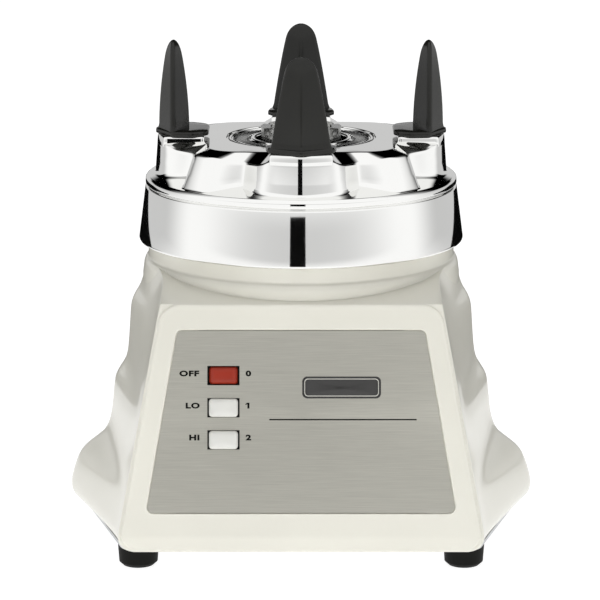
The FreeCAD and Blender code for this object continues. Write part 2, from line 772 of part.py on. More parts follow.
def armature():
    low, high = size("core_low"), size("core_high")
    radius = size("core_radius")
    thick = size("shaft_core_radius")
    slot_circle = radius - 4.5
    core = ring("core_blank", radius, thick, high - low, low)

    def hole(name):
        return cylinder(name, 2.2, high - low + 2, slot_circle, 0, low - 1)

    def mouth(name):
        return box(name, 6, 1.6, high - low + 2, radius - 1, 0, low - 1)

    slots = fuse("core_slots", [around("slot_holes", hole, 12), around("slot_mouths", mouth, 12)])
    keep(cut("Core", core, slots), "armature_core")

    def rod(name):
        return cylinder(name, 2.1, high - low + 4, slot_circle, 0, low - 2)

    lower_turns = turned("lower_turns", [(10, 75), (20, 75), (22.5, 77), (22.5, low - 0.1), (10, low - 0.1)])
    upper_turns = turned("upper_turns", [(10, high + 0.1), (22.5, high + 0.1), (22.5, 123), (20, 125),
                                         (10, 125)])
    keep(fuse("Winding", [lower_turns, around("winding_rods", rod, 12), upper_turns]), "armature_winding")

    segments = size("commutator_high") - size("commutator_low")
    blank = ring("commutator_blank", size("commutator_radius"), thick, segments, size("commutator_low"))

    def slit(name):
        start = size("commutator_radius") - 0.5
        return box(name, 3, 0.6, segments + 2, start, 0, size("commutator_low") - 1)

    keep(cut("Commutator", blank, around("commutator_slits", slit, 24)), "commutator")


def stator():
    low, high = size("core_low"), size("core_high")
    stack = ring("stack_ring", size("stator_radius"), size("stator_bore"), high - low, low)
    slot_disc = cylinder("slot_disc", size("coil_radius") + 0.1, high - low + 2, 0, 0, low - 1)
    slot_span = box("slot_span", 100, 24.2, high - low + 4, 0, 0, low - 2)
    coil_slots = common("coil_slots", slot_disc, slot_span)
    def bolt_hole(name):
        return cylinder(name, 2.2, 60, size("motor_bolt_circle"), 0, 70)

    bolts = around("stack_holes", bolt_hole, 4, 45)
    keep(cut("Stator", stack, fuse("stack_openings", [coil_slots, bolts])), "stator_laminations")

    for label, side in (("front", -1), ("rear", 1)):
        bore = size("stator_bore") + 1.2
        turns = ring(f"{label}_turns", size("coil_radius"), bore, high - low + 13, low - 6.5)
        half = box(f"{label}_half", 100, 50, 80, 0, 25.7 * side, 60)
        pole = box(f"{label}_pole", 100, 40, high - low + 0.2, 0, 32 * side, low - 0.1)
        bundle = common(f"{label}_bundle", turns, half)
        keep(cut(f"{label}_coil_solid", bundle, pole), f"field_coil_{label}")


def end_brackets():
    """The cast cups that clamp the stator. Each holds one bearing."""
    circle = size("motor_bolt_circle")
    mount = size("motor_mount_circle")
    low, high = size("core_low"), size("core_high")

    lower_cup = turned("lower_cup", [(11, 44), (11, 51), (9, 51), (9, 52.5), (14, 52.5), (14, 50), (41, 50),
                                     (41, low), (44, low), (44, 46), (14, 46), (14, 44)])
    air = around("lower_air", lambda name: cylinder(name, 6, 10, 26, 0, 44), 4, 0)
    bolts = around("lower_bolt_holes", lambda name: cylinder(name, 2.1, 10, circle, 0, 44), 4, 45)
    ports = box("brush_ports", 100, 13, 15, 0, 0, 57.5)
    keep(cut("LowerBracket", lower_cup, fuse("lower_openings", [air, bolts, ports])), "lower_end_bracket")

    upper_cup = turned("upper_cup", [(13, 129), (13, 138), (16.5, 138), (16.5, 136), (44, 136), (44, high),
                                     (41, high), (41, 132), (16.5, 132), (16.5, 127.5), (7, 127.5), (7, 129)])
    ears = around("upper_ears", lambda name: cylinder(name, 8, 4, mount, 0, 132), 4, 45)
    ear_holes = around("ear_holes", lambda name: cylinder(name, 2.6, 10, mount, 0, 130), 4, 45)
    air = around("upper_air", lambda name: cylinder(name, 6, 10, 28, 0, 130), 4, 0)
    bolts = around("upper_bolt_holes", lambda name: cylinder(name, 2.1, 10, circle, 0, 130), 4, 45)
    openings = fuse("upper_openings", [ear_holes, air, bolts])
    keep(cut("UpperBracket", fuse("upper_casting", [upper_cup, ears]), openings), "upper_end_bracket")

    def through_bolt(name):
        return fuse(name, [
            cylinder(name + "_shank", 2, 93, circle, 0, 45),
            cylinder(name + "_head", 3.4, 3, circle, 0, 43),
            cylinder(name + "_nut", 3.4, 2.4, circle, 0, 136),
        ])
    keep(around("ThroughBolts", through_bolt, 4, 45), "motor_bolts")

    def grommet(name):
        bush = cylinder(name + "_body", 7, 6, mount, 0, 136)
        return cut(name, bush, cylinder(name + "_hole", 2.6, 8, mount, 0, 135))
    keep(around("Grommets", grommet, 4, 45), "motor_grommets")

    def mount_screw(name):
        return fuse(name, [
            cylinder(name + "_shank", 2.5, 18.5, mount, 0, 131),
            cylinder(name + "_head", 4.5, 3, mount, 0, 129),
        ])
    keep(around("MountScrews", mount_screw, 4, 45), "motor_screws")


def brush_gear():
    """Two carbon brushes on the X axis, each in a holder with a spring behind it."""
    for label, side in (("right", 1), ("left", -1)):
        start = size("commutator_radius") + size("brush_gap")
        length = size("brush_length")
        height = size("brush_height")
        wide, tall = size("brush_wide"), size("brush_tall")

        def slab(name, low_x, span, width, bottom, rise):
            middle = (as_size(low_x) + as_size(span) * 0.5) * side
            return box(name, span, width, rise, middle, 0, bottom)

        keep(slab(f"{label}_brush_solid", start, length, wide, height - tall * 0.5, tall), f"brush_{label}")
        case = slab(f"{label}_case", 16, 31, 12, 60, 10)
        foot = slab(f"{label}_foot", 33, 7, 10, 50, 11)
        channel = slab(f"{label}_channel", 15, 30.5, wide + 0.2, height - tall * 0.5 - 0.1, tall + 0.2)
        casting = fuse(f"{label}_casting", [case, foot])
        keep(cut(f"{label}_holder_solid", casting, channel), f"brush_holder_{label}")

        coil = document.addObject("Part::Helix", f"{label}_brush_coil")
        coil.Radius = 2
        coil.Height = 10.2
        coil.Pitch = 1.7
        wire = document.addObject("Part::Circle", f"{label}_brush_wire")
        wire.Radius = 0.25
        wire.Placement = Placement(Vector(2, 0, 0), Rotation(Vector(1, 0, 0), 90))
        spring = document.addObject("Part::Sweep", f"{label}_brush_spring_solid")
        spring.Sections = [wire]
        spring.Spine = (coil, [])
        spring.Solid = True
        spring.Frenet = True
        coil_start = start.value + length.value + 0.35
        spot = Vector(side * coil_start, 0, height.value)
        spring.Placement = Placement(spot, Rotation(Vector(0, side, 0), 90))
        keep(spring, f"brush_spring_{label}")


def cooling_fan():
    low, high = size("fan_low"), size("fan_high")
    hub = ring("fan_hub", 9, size("shaft_end_radius"), high - low, low)
    web = ring("fan_web", size("fan_radius"), 8, 1.5, high - 1.5)
    blades = around("fan_blades", lambda name: box(name, 25.5, 1.5, high - low - 1, 21, 0, low + 0.5), 9)
    keep(fuse("Fan", [hub, web, blades]), "cooling_fan")


def inlet_bushing():
    """The bushing in the back wall that a power cord enters through."""
    radius, bore = size("inlet_radius"), size("inlet_bore")
    body = turned("Bushing", [
        (bore, -6), (7.6, -6), (7.6, -3.4), (radius, -3.4), (radius, 0.1), (8.5, 0.1), (8.5, 2), (7.5, 3),
        (bore, 3),
    ])
    move(body, BACK, 0, size("inlet_height"), 0)
    keep(body, "cord_bushing")


def write_pieces():
    """Stop on any failed object, then write each sub-part to its own file."""
    document.recompute()
    for item in document.Objects:
        if "Invalid" in item.State or "Error" in item.State:
            raise RuntimeError(f"{item.Label} failed: {item.State}")
    for item in pieces:
        if item.Shape.isNull() or not item.Shape.isValid():
            raise RuntimeError(f"{item.Label} has no valid shape")
    os.makedirs("parts", exist_ok=True)
    for item in pieces:
        item.Shape.exportStep(os.path.join("parts", item.Label + ".step"))
        print(f"{item.Label}: {item.Shape.Volume:.0f} mm3, {len(item.Shape.Solids)} solid(s)")


housing()
floor_plate()
feet()
control_plate()
buttons()
switch()
collar()
collar_screws()
drive_line()
bearings()
armature()
stator()
end_brackets()
brush_gear()
cooling_fan()
inlet_bushing()
write_pieces()
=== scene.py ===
"""Looks of a bar blender's motor base. Shapes are in millimetres until add_piece() turns them into metres."""
import json
import math
import bmesh
import bpy
from mathutils import Matrix, Vector


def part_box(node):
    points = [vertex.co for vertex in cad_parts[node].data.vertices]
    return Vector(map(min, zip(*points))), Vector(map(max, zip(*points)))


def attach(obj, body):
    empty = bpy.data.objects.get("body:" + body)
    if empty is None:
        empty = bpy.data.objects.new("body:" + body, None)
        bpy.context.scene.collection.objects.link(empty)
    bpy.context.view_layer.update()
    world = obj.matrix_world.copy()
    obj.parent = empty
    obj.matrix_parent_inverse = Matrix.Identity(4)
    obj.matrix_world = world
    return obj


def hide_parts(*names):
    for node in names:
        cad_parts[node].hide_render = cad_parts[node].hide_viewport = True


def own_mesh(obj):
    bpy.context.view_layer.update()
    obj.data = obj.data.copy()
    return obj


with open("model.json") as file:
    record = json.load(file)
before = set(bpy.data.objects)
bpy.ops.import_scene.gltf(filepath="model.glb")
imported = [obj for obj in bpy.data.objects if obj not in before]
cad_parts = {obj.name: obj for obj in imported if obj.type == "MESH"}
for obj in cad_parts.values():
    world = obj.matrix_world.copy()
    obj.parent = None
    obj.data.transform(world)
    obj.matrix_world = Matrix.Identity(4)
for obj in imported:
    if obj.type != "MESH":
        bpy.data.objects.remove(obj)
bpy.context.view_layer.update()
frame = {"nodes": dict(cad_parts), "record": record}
MM = 0.001
TURN = 2 * math.pi

# Driving dimensions, in millimetres
BASE_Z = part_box("floor_plate")[0].z / MM
PANEL_TILT = math.radians(10.2)
PANEL_DEPTH = 95
PLATFORM_Z = 181
LEDGE_Z = 164.3
COLLAR_LOW_Z = 134.5
NECK_TOP_Z = 136
SHOULDER_Z = 119

# Watts for each square metre of a light panel with a brightness of 1
POWER_PER_AREA = math.pi

# Half-width of the housing at its widest line: (height, half-width)
SIDE_PROFILE = (
    (12, 106.6), (13, 107.1), (14, 107.6), (15.5, 107.9), (17, 108.1), (20, 107.8), (23, 107), (26, 106.1),
    (29, 105), (31.5, 103.9), (34.2, 102), (37, 98.2), (40.2, 93.4), (44.5, 90.1), (51, 88.2), (58, 87.5),
    (65, 86.9), (69.5, 86.2), (73, 83.9), (77, 81.2), (81, 80.1), (90, 79.4), (99, 78.9), (104, 78.5),
    (108, 76.8), (111, 74.6),
)

# The push buttons' middles on the panel: across, then up the slope
BUTTON_X = -34
BUTTON_Y = {"off": 77.8, "low": 63.7, "high": 49.6}

# Half the thickness of the printed ink
INK_HALF = 0.012

# The platform's outline between posts, in degrees from a post: end of its column, valley, start of the lobe
COLUMN_END = 12
VALLEY = 29
LOBE_START = 41
VALLEY_RADIUS = 56

# Where the flat top ends at the centre recess, and the recess's ribbed floor
RECESS_RADIUS = 35
RECESS_Z = PLATFORM_Z - 1.3
RIBS = 60


# Mesh helpers

class MeshParts:
    """Collects the points and faces of one piece."""

    def __init__(self):
        self.points = []
        self.faces = []

    def grid(self, rows, wrap=True, keep=None):
        """Quads between rows of equal length. keep(row, column) may leave a quad out."""
        start = len(self.points)
        width = len(rows[0])
        for row in rows:
            self.points.extend(row)
        for r in range(len(rows) - 1):
            for c in range(width if wrap else width - 1):
                if keep and not keep(r, c):
                    continue
                n = (c + 1) % width
                low, high = start + r * width, start + (r + 1) * width
                self.faces.append((low + c, low + n, high + n, high + c))

    def cap(self, row, middle=None):
        """Closes a ring of points with a fan about its middle."""
        start = len(self.points)
        count = len(row)
        self.points.extend(row)
        if middle is None:
            middle = sum((Vector(p) for p in row), Vector()) / count
        self.points.append(middle)
        for c in range(count):
            self.faces.append((start + c, start + (c + 1) % count, start + count))


def add_piece(name, parts, material, body="base", place=None, subdivide=0):
    """Turns mesh parts into a smooth-shaded object in metres that rides on a body."""
    mesh = bpy.data.meshes.new(name)
    scale = Matrix.Scale(MM, 4) @ (place or Matrix())
    mesh.from_pydata([scale @ Vector(p) for p in parts.points], [], parts.faces)
    build = bmesh.new()
    build.from_mesh(mesh)
    bmesh.ops.remove_doubles(build, verts=build.verts, dist=0.002 * MM)
    bmesh.ops.recalc_face_normals(build, faces=build.faces)
    build.to_mesh(mesh)
    build.free()
    mesh.polygons.foreach_set("use_smooth", [True] * len(mesh.polygons))
    mesh.materials.append(material)
    piece = bpy.data.objects.new(name, mesh)
    bpy.context.scene.collection.objects.link(piece)
    if subdivide:
        surface = piece.modifiers.new("Subdivision", "SUBSURF")
        surface.levels = subdivide
        surface.render_levels = subdivide
    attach(piece, body)
    return piece


def rounded_loop(corners, z, arc_steps, edge_steps):
    """Points round a polygon whose corners (x, y, radius) are arcs. The count depends only on the steps."""
    count = len(corners)
    arcs = []
    for i, (x, y, radius) in enumerate(corners):
        corner = Vector((x, y))
        arrive = (Vector(corners[i - 1][:2]) - corner).normalized()
        leave = (Vector(corners[(i + 1) % count][:2]) - corner).normalized()
        half = arrive.angle(leave) / 2
        centre = corner + (arrive + leave).normalized() * (radius / math.sin(half))
        start = corner + arrive * (radius / math.tan(half))
        sweep = math.pi - 2 * half
        side = 1 if arrive.cross(leave) < 0 else -1
        turns = [side * sweep * k / arc_steps for k in range(arc_steps + 1)]
        arcs.append([centre + Matrix.Rotation(turn, 2) @ (start - centre) for turn in turns])
    loop = []
    for i, arc in enumerate(arcs):
        following = arcs[(i + 1) % count][0]
        loop.extend(arc)
        loop.extend(arc[-1].lerp(following, k / edge_steps) for k in range(1, edge_steps))
    return [(p.x, p.y, z) for p in loop]


def circle(radius, z, count):
    turns = [TURN * k / count for k in range(count)]
    return [(radius * math.cos(turn), radius * math.sin(turn), z) for turn in turns]


def soften(profile, radius, steps=4):
    """Rounds the corners of an open (radius, height) profile with short curves, of one size or one each."""
    points = [Vector(p) for p in profile]
    sizes = radius if isinstance(radius, (list, tuple)) else [radius] * len(points)
    out = [points[0]]
    for before, corner, after, size in zip(points, points[1:], points[2:], sizes):
        reach = min(size, (before - corner).length * 0.45, (after - corner).length * 0.45)
        start = corner + (before - corner).normalized() * reach
        end = corner + (after - corner).normalized() * reach
        for k in range(steps + 1):
            t = k / steps
            out.append(start * (1 - t) ** 2 + corner * (2 * t * (1 - t)) + end * t ** 2)
    out.append(points[-1])
    return [(p.x, p.y) for p in out]


def smooth_step(value, low, high):
    t = min(max((value - low) / (high - low), 0), 1)
    return t * t * (3 - 2 * t)


# Materials: every one is procedural, in object space

class Shader:
    """A Principled material and short ways to add nodes to it."""

    def __init__(self, name, color, roughness, metallic=0.0, **settings):
        self.material = bpy.data.materials.new(name)
        self.material.use_nodes = True
        self.tree = self.material.node_tree
        self.surface = self.tree.nodes["Principled BSDF"]
        self.surface.inputs["Base Color"].default_value = (*color, 1)
        self.surface.inputs["Roughness"].default_value = roughness
        self.surface.inputs["Metallic"].default_value = metallic
        for key, value in settings.items():
            self.surface.inputs[key.replace("_", " ")].default_value = value
        self.color = color

    def add(self, kind, **inputs):
        """A new node, with each input linked to a socket or set to a value."""
        node = self.tree.nodes.new(kind)
        for key, value in inputs.items():
            socket = node.inputs[key.replace("_", " ")]
            if isinstance(value, bpy.types.NodeSocket):
                self.tree.links.new(value, socket)
            else:
                socket.default_value = value
        return node

    def link(self, output, target):
        self.tree.links.new(output, self.surface.inputs[target])

    def place(self, stretch=(1, 1, 1)):
        """Object coordinates, stretched along each axis."""
        coordinates = self.add("ShaderNodeTexCoord")
        mapping = self.add("ShaderNodeMapping", Vector=coordinates.outputs["Object"], Scale=stretch)
        return mapping.outputs["Vector"]

    def noise(self, scale, stretch=(1, 1, 1), detail=4.0, rough=0.55):
        place = self.place(stretch)
        node = self.add("ShaderNodeTexNoise", Vector=place, Scale=scale, Detail=detail, Roughness=rough)
        return node.outputs["Fac"]

    def span(self, value, low, high):
        """Maps a 0 to 1 value onto low to high."""
        node = self.add("ShaderNodeMapRange", Value=value)
        node.inputs["To Min"].default_value = low
        node.inputs["To Max"].default_value = high
        return node.outputs["Result"]

    def math(self, operation, *values):
        node = self.tree.nodes.new("ShaderNodeMath")
        node.operation = operation
        for socket, value in zip(node.inputs, values):
            if isinstance(value, bpy.types.NodeSocket):
                self.tree.links.new(value, socket)
            else:
                socket.default_value = value
        return node.outputs[0]

    def smooth(self, value, zero, one):
        """Rises smoothly from 0 to 1 between two values."""
        node = self.add("ShaderNodeMapRange", Value=value)
        node.interpolation_type = "SMOOTHSTEP"
        node.inputs["From Min"].default_value = zero
        node.inputs["From Max"].default_value = one
        return node.outputs["Result"]

    def tint(self, value, dark, light):
        """Varies the base colour between two multiples of itself."""
        ramp = self.add("ShaderNodeValToRGB", Fac=value)
        for element, factor in zip(ramp.color_ramp.elements, (dark, light)):
            element.color = (*[min(c * factor, 1) for c in self.color], 1)
        ramp.color_ramp.elements[0].position = 0.3
        ramp.color_ramp.elements[1].position = 0.7
        self.link(ramp.outputs["Color"], "Base Color")

    def bump(self, height, strength, distance):
        node = self.add("ShaderNodeBump", Height=height, Strength=strength, Distance=distance)
        self.link(node.outputs["Normal"], "Normal")


def enamel(name, color):
    """Thick glossy paint on a casting: a faint orange peel under a clear coat."""
    shader = Shader(name, color, 0.32, Coat_Weight=0.35, Coat_Roughness=0.07, Specular_IOR_Level=0.4)
    shader.tint(shader.noise(18, detail=3), 0.975, 1.015)
    shader.link(shader.span(shader.noise(90, detail=5), 0.26, 0.38), "Roughness")
    shader.bump(shader.noise(420, detail=2), 0.05, 0.0006)
    return shader.material


def mirror_chrome(name):
    """Polished plating with faint wiping marks."""
    shader = Shader(name, (0.89, 0.89, 0.875), 0.035, 1.0)
    shader.tint(shader.noise(25, detail=2), 0.985, 1.01)
    shader.link(shader.span(shader.noise(140, (1, 1, 3), 6, 0.7), 0.02, 0.06), "Roughness")
    shader.bump(shader.noise(45, detail=1), 0.03, 0.0006)
    return shader.material


def brushed_panel(name, color):
    """Sheet steel with a fine grain along X."""
    roughness = 0.34
    shader = Shader(name, color, roughness, 1.0, Anisotropic=0.55)
    grain = shader.noise(1.0, (60, 5200, 5200), 3, 0.6)
    shader.tint(grain, 0.9, 1.08)
    streaks = shader.noise(1.0, (40, 3400, 3400), 4, 0.7)
    shader.link(shader.span(streaks, roughness - 0.06, roughness + 0.1), "Roughness")
    shader.bump(grain, 0.12, 0.00004)
    return shader.material


def metal(name, color, roughness, scale=260, tone=0.1, bump=0.05):
    """Machined, cast or plated metal, told apart by its colour, roughness and texture scale."""
    shader = Shader(name, color, roughness, 1.0)
    shader.tint(shader.noise(scale * 0.3, detail=5), 1 - tone, 1 + tone * 0.5)
    shader.link(shader.span(shader.noise(scale, detail=4), roughness - 0.06, roughness + 0.08), "Roughness")
    shader.bump(shader.noise(scale * 2, detail=2), bump, 0.0002)
    return shader.material


def turned_metal(name, color, roughness):
    """Lathe-turned metal: fine rings about the shaft's axis."""
    shader = Shader(name, color, roughness, 1.0)
    coordinates = shader.place()
    rings = shader.add("ShaderNodeTexWave", Vector=coordinates, Scale=700.0, Distortion=0.6, Detail=2.0)
    rings.wave_type = "RINGS"
    rings.rings_direction = "Z"
    shader.tint(shader.noise(60, detail=4), 0.9, 1.04)
    shader.link(shader.span(rings.outputs["Fac"], roughness - 0.05, roughness + 0.07), "Roughness")
    shader.bump(rings.outputs["Fac"], 0.06, 0.00005)
    return shader.material


def plastic(name, color, roughness, gloss=0.0, scale=500, bump=0.04, shine=0.5):
    """Moulded plastic or rubber with a fine mould texture and slight tone changes."""
    shader = Shader(name, color, roughness, Coat_Weight=gloss, Coat_Roughness=0.08, Specular_IOR_Level=shine)
    shader.tint(shader.noise(35, detail=3), 0.93, 1.05)
    shader.link(shader.span(shader.noise(120, detail=4), roughness - 0.05, roughness + 0.06), "Roughness")
    shader.bump(shader.noise(scale, detail=3), bump, 0.0003)
    return shader.material


ENAMEL = enamel("cream_enamel", (0.80, 0.785, 0.70))
CHROME = mirror_chrome("mirror_chrome")
VINYL = plastic("black_vinyl", (0.012, 0.012, 0.010), 0.16, 0, 160, 0.03, 0.32)
FOOT_RUBBER = plastic("foot_rubber", (0.007, 0.007, 0.006), 0.6, 0, 700, 0.12, 0.12)
RED_PLASTIC = plastic("red_plastic", (0.34, 0.030, 0.013), 0.3, 0.15, 500, 0.04, 0.2)
WHITE_PLASTIC = plastic("white_plastic", (0.74, 0.74, 0.70), 0.32, 0.3, 500, 0.04, 0.4)
INK = plastic("panel_ink", (0.006, 0.006, 0.005), 0.5, 0, 900, 0.02, 0.1)
BADGE_FACE = plastic("badge_face", (0.016, 0.015, 0.014), 0.3, 0.3, 900, 0.02)
BADGE_LINE = metal("badge_line", (0.62, 0.61, 0.56), 0.3)

SLOT_MATERIALS = {
    "cream_paint": ENAMEL,
    "chrome": CHROME,
    "panel_steel": brushed_panel("brushed_panel_steel", (0.56, 0.55, 0.49)),
    "zinc_sheet": metal("zinc_sheet", (0.52, 0.53, 0.54), 0.38, 160, 0.16, 0.06),
    "red_key": RED_PLASTIC,
    "white_key": WHITE_PLASTIC,
    "black_vinyl": VINYL,
    "foot_rubber": FOOT_RUBBER,
    "seal_rubber": FOOT_RUBBER,
    "coupling_steel": turned_metal("coupling_steel", (0.55, 0.55, 0.54), 0.22),
    "bearing_steel": metal("bearing_steel", (0.58, 0.59, 0.6), 0.18),
    "fastener_steel": metal("fastener_steel", (0.48, 0.48, 0.47), 0.32),
    "spring_steel": metal("spring_steel", (0.42, 0.42, 0.43), 0.28),
    "lamination_steel": metal("lamination_steel", (0.16, 0.16, 0.17), 0.45, 900, 0.25, 0.1),
    "copper": metal("copper_winding", (0.62, 0.25, 0.11), 0.3, 700, 0.22, 0.1),
    "cast_aluminium": metal("cast_aluminium", (0.6, 0.61, 0.62), 0.5, 420, 0.1, 0.25),
    "brass_case": metal("brass_case", (0.62, 0.44, 0.17), 0.3),
    "carbon": plastic("pressed_carbon", (0.03, 0.03, 0.032), 0.55, 0, 900, 0.15),
    "black_plastic": plastic("dark_plastic", (0.02, 0.02, 0.02), 0.5, 0, 600, 0.08),
}


def dress_cad_nodes():
    """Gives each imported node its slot's material."""
    slot_of = {part["node"]: part["material_slot"] for part in frame["record"]["subparts"]}
    for node, piece in frame["nodes"].items():
        piece.data.materials.clear()
        piece.data.materials.append(SLOT_MATERIALS[slot_of[node]])
        piece.data.polygons.foreach_set("material_index", [0] * len(piece.data.polygons))


def soft_edges(node, width):
    """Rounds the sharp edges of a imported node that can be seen."""
    bevel = frame["nodes"][node].modifiers.new("Edges", "BEVEL")
    bevel.width = width * MM
    bevel.segments = 3
    bevel.limit_method = "ANGLE"
    bevel.angle_limit = math.radians(35)


# The slanted front: x across, y up the slope, z outwards

PANEL = (
    Matrix.Translation((0, -PANEL_DEPTH, BASE_Z))
    @ Matrix.Rotation(math.pi / 2 - PANEL_TILT, 4, "X")
)


# Housing

def front_depth(z):
    """Distance of the slanted front from the shaft at height z."""
    return PANEL_DEPTH - (z - BASE_Z) * math.tan(PANEL_TILT)


def corner_half(z):
    """Half-width of the front at height z, rounded at its lower corners."""
    radius = 8
    below = radius - min(max(z - BASE_Z, 0), radius)
    rounding = radius - math.sqrt(radius ** 2 - below ** 2)
    return 81.9 - 0.186 * (z - BASE_Z) - rounding


def deck_height(y):
    """Height of the sloping shoulder at distance |y| from the shaft."""
    return 119.3 + (front_depth(SHOULDER_Z) - abs(y)) * math.tan(math.radians(9.3))


# Columns of one quarter of the plan, from the middle of the front to the middle of the side: distance
# from the corner along the front, then share of the way along the side
FRONT_STEPS = (1.0, 0.75, 0.5, 0.3, 0.16, 0.07, 0.022)
SIDE_STEPS = (0.0, 0.035, 0.09, 0.18, 0.3, 0.44, 0.6, 0.76, 0.9, 1.0)


def quarter_plan(z, side):
    """Points of the front right quarter of the plan at height z."""
    half, front = corner_half(z), front_depth(z)
    points = [(half * (1 - step), -front) for step in FRONT_STEPS]
    for share in SIDE_STEPS:
        bow = share * share / (share + 0.15) * 1.15
        points.append((half + (side + 0.6 - half) * bow, -front * (1 - share)))
    return points


def full_plan(z, side):
    """The whole plan, by mirroring the quarter."""
    quarter = quarter_plan(z, side)
    right = quarter + [(x, -y) for x, y in reversed(quarter[:-1])]
    loop = right + [(-x, y) for x, y in reversed(right[1:-1])]
    return [(x, y, z) for x, y in loop]


def housing_shell():
    """The stepped casting up to its sloping shoulders, as a control cage for subdivision."""
    outline = full_plan(*SIDE_PROFILE[0])
    rows = [
        [(x * 0.955, y * 0.95, BASE_Z + 1.6) for x, y, z in outline],
        [(x * 0.955, y * 0.95, BASE_Z) for x, y, z in outline],
        [(x * 0.985, y * 0.983, BASE_Z) for x, y, z in outline],
    ]
    rows += [full_plan(z, side) for z, side in SIDE_PROFILE]
    top_z = SIDE_PROFILE[-1][0]
    top = rows[-1]

    def edge_point(point):
        """Where the side meets the shoulder's outer edge, or the neck near the middle."""
        x, y, _ = point
        share = abs(y) / front_depth(top_z)
        if share > 0.999:
            edge_z = deck_height(front_depth(SHOULDER_Z))
            edge_x = x * corner_half(edge_z) / corner_half(top_z)
            return Vector((edge_x, math.copysign(front_depth(edge_z), y), edge_z))
        edge_y = math.copysign(share * front_depth(SHOULDER_Z), y)
        edge_x = max(61.6, math.sqrt(max(71.2 ** 2 - edge_y ** 2, 0)))
        return Vector((math.copysign(edge_x, x), edge_y, min(deck_height(edge_y), 126)))

    edges = [edge_point(p) for p in top]
    for share in (0.2, 0.42, 0.64, 0.82, 0.94, 1.0):
        row = []
        for point, edge in zip(top, edges):
            off_corner = 1 - abs(point[1]) / front_depth(top_z)
            place = Vector(point).lerp(edge, share)
            hollow = 1 + 0.7 * smooth_step(off_corner, 0.45, 1)
            place.x = point[0] + (edge.x - point[0]) * (1 - (1 - share) ** hollow)
            row.append(place[:])
        rows.append(row)
    for share in (0.1, 0.25, 0.6, 1.0):
        row = []
        for edge in edges:
            angle = math.atan2(edge.y, edge.x)
            inner = Vector((68 * math.cos(angle), 68 * math.sin(angle)))
            flat = edge.xy.lerp(inner, share)
            height = max(min(deck_height(flat.y), 126.5), edge.z)
            row.append((flat.x, flat.y, height))
        rows.append(row)

    width = len(rows[0])
    open_columns = len(FRONT_STEPS) - 4
    open_rows = range(9, len(rows) - 11)

    def keep(row, column):
        """Leaves the front open behind the control panel."""
        from_middle = min(column, width - 1 - column)
        return not (from_middle < open_columns and row in open_rows)

    parts = MeshParts()
    parts.grid(rows, keep=keep)
    shell = add_piece("housing_shell", parts, ENAMEL, subdivide=2)
    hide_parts("housing")


def housing_neck():
    """The round neck with a shallow step, running up inside the collar."""
    profile = soften([
        (66.5, 108), (73.0, 112), (72.8, 119), (72.1, 124.3), (71.2, 126.3), (70.2, 127.2),
        (70.2, NECK_TOP_Z), (66, NECK_TOP_Z), (66, 146), (15, 146),
    ], 0.7)
    parts = MeshParts()
    parts.grid([circle(radius, z, 192) for radius, z in profile])
    add_piece("housing_neck", parts, ENAMEL)


def bend_lip(point):
    """Below the crease near its lower edge the front turns upright."""
    x, y, z = point
    crease = 6.7
    if y >= crease:
        return point
    return (x, y, z - (crease - y) * math.sin(PANEL_TILT) * 0.9)


def panel_trapezoid(low, high, low_half, high_half, grow, low_radius, high_radius):
    """Corners of a trapezoid on the panel, moved outwards by grow."""
    return [
        (-low_half - grow, low - grow, low_radius + grow),
        (low_half + grow, low - grow, low_radius + grow),
        (high_half + grow, high + grow, high_radius + grow),
        (-high_half - grow, high + grow, high_radius + grow),
    ]


def panel_frame():
    """The raised border round the control plate, with soft edges and a seat for the plate."""
    def outer(grow, z):
        return rounded_loop(panel_trapezoid(0.4, 108.9, 80.6, 61, grow, 8, 10), z, 10, 40)

    def inner(grow, z):
        return rounded_loop(panel_trapezoid(17.5, 97.5, 67.8, 54, grow, 2.6, 2.6), z, 10, 40)

    def between(share, z):
        return [Vector(a).lerp(Vector(b), share)[:] for a, b in zip(outer(-1.4, z), inner(1.2, z))]

    rows = [
        outer(0.5, -1.6), outer(0.25, -0.2), outer(0.1, 0.3), outer(-0.15, 0.72), outer(-0.5, 0.95),
        outer(-0.95, 1.02), outer(-1.4, 0.98),
    ]
    rows += [between(share / 12, 0.9) for share in range(1, 12)]
    rows += [
        inner(1.2, 0.92), inner(0.8, 0.98), inner(0.5, 0.9), inner(0.32, 0.66), inner(0.28, -0.4),
        inner(-2.5, -0.4),
    ]
    parts = MeshParts()
    parts.grid([[bend_lip(p) for p in row] for row in rows])
    add_piece("panel_frame", parts, ENAMEL, place=PANEL)


# Collar

def off_post(degrees):
    """Degrees from the nearest post."""
    return abs((degrees + 45) % 90 - 45)


def lobe_radius(degrees):
    """The platform's outline: a post's column, a valley, then a broad corner lobe."""
    off = off_post(degrees)
    if off < COLUMN_END:
        return 66.8 - 1.7 * (off / COLUMN_END) ** 1.4
    if off < VALLEY:
        return VALLEY_RADIUS + 9.1 * smooth_step(off, VALLEY, COLUMN_END)
    return VALLEY_RADIUS + 13 * smooth_step(off, VALLEY, LOBE_START)


def clover_radius(angle):
    """The outline with its valleys rounded, as a mean over 4 degrees."""
    degrees = math.degrees(angle)
    return sum(lobe_radius(degrees + step / 2) for step in range(-4, 5)) / 9


def flat_radius(angle):
    """Edge of the flat top: a square with soft corners."""
    return 42.5 / (abs(math.cos(angle)) ** 6 + abs(math.sin(angle)) ** 6) ** (1 / 6)


def post_weight(angle):
    """1 on a post's column and 0 away from it."""
    return 1 - smooth_step(off_post(math.degrees(angle)), 10, 19)


def wall_top(angle):
    """Radius of the wall's upper edge: upright on a post's column, leaning in at the corner lobes."""
    weight = post_weight(angle)
    lobe = smooth_step(off_post(math.degrees(angle)), VALLEY, LOBE_START)
    lean = 1.2 * weight + (1 - weight) * (2.0 + 4.5 * lobe)
    return clover_radius(angle) - lean


